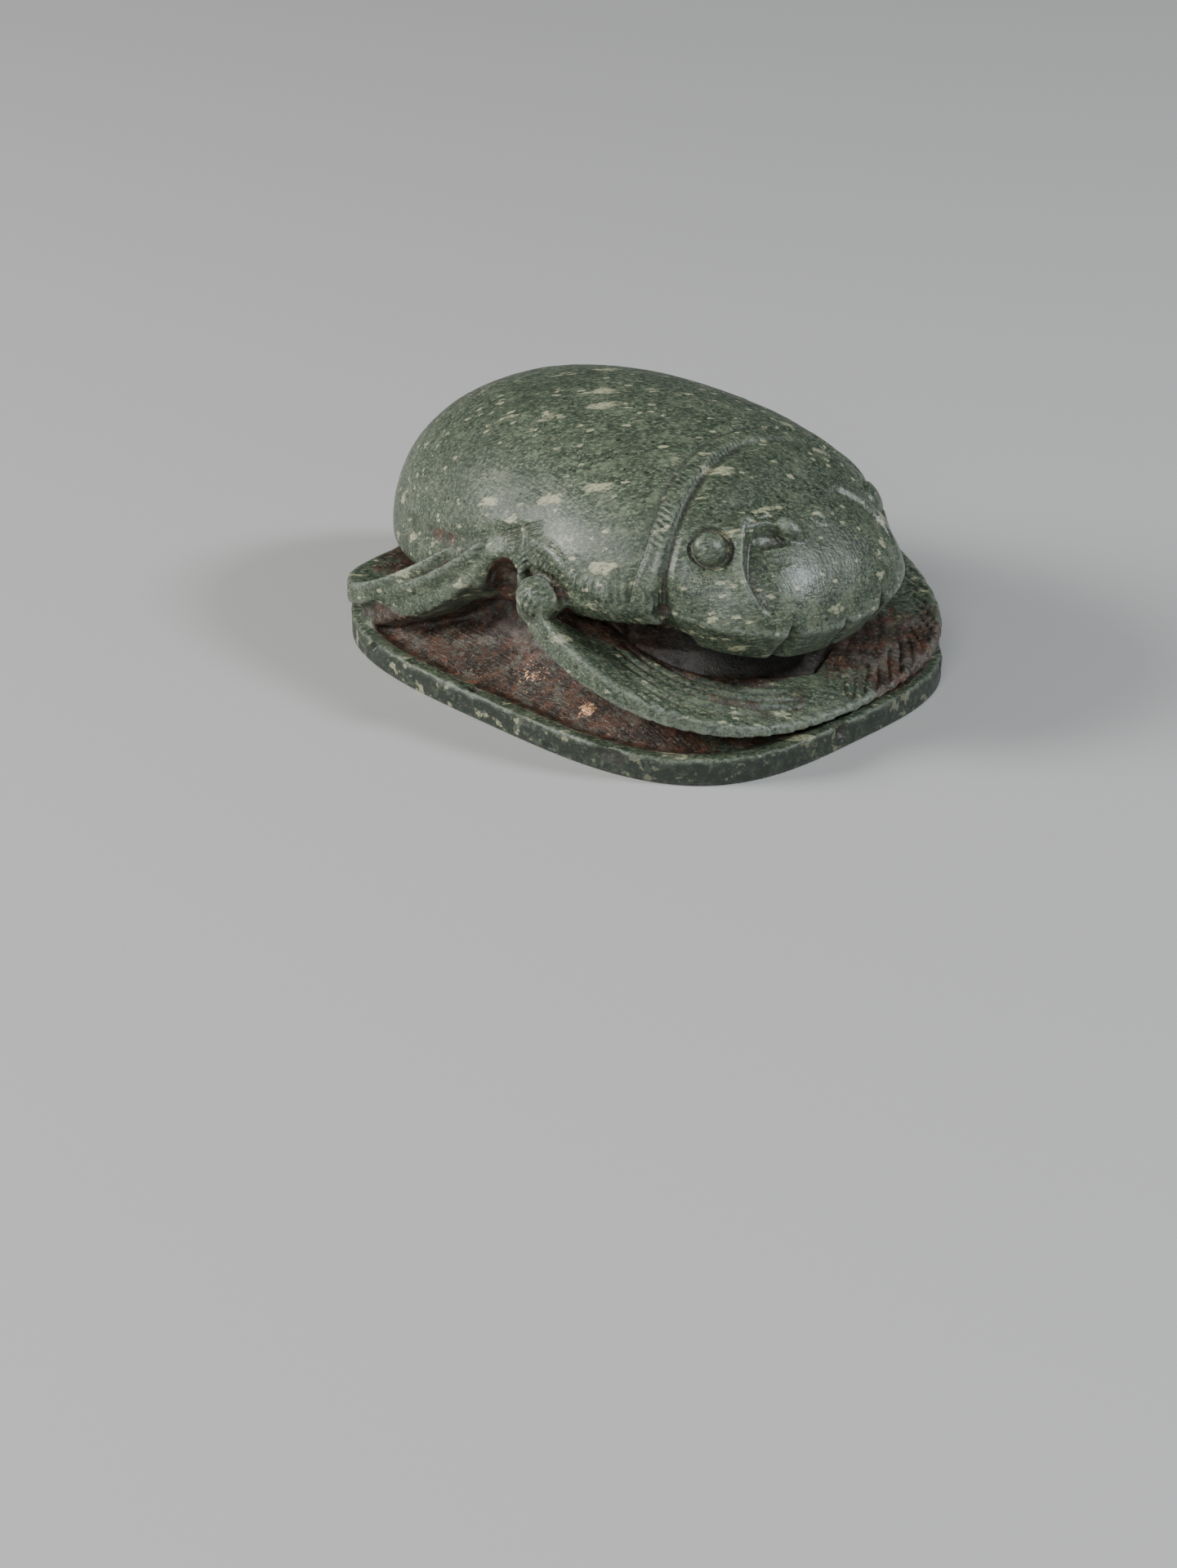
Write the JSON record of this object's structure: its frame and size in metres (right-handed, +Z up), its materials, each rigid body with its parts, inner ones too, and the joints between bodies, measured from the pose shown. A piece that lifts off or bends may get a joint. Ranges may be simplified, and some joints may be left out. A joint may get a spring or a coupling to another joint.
{
  "type": "heart scarab",
  "caption": "Large carved stone scarab beetle on an oval plinth, made in one piece and lying flat on its plain underside.",
  "frame": {"origin": "centre of the bounding box on the plane that the plinth's underside rests on", "axes": "+X along the beetle towards its head, +Y to its left, +Z up from the underside through the back"},
  "size_m": [0.0622, 0.048, 0.0292],
  "materials": {
    "stone": "speckled green stone with a soft worn polish and red-brown residue in its recesses"
  },
  "bodies": {
    "root": {"scarab": "stone"}
  },
  "joints": []
}
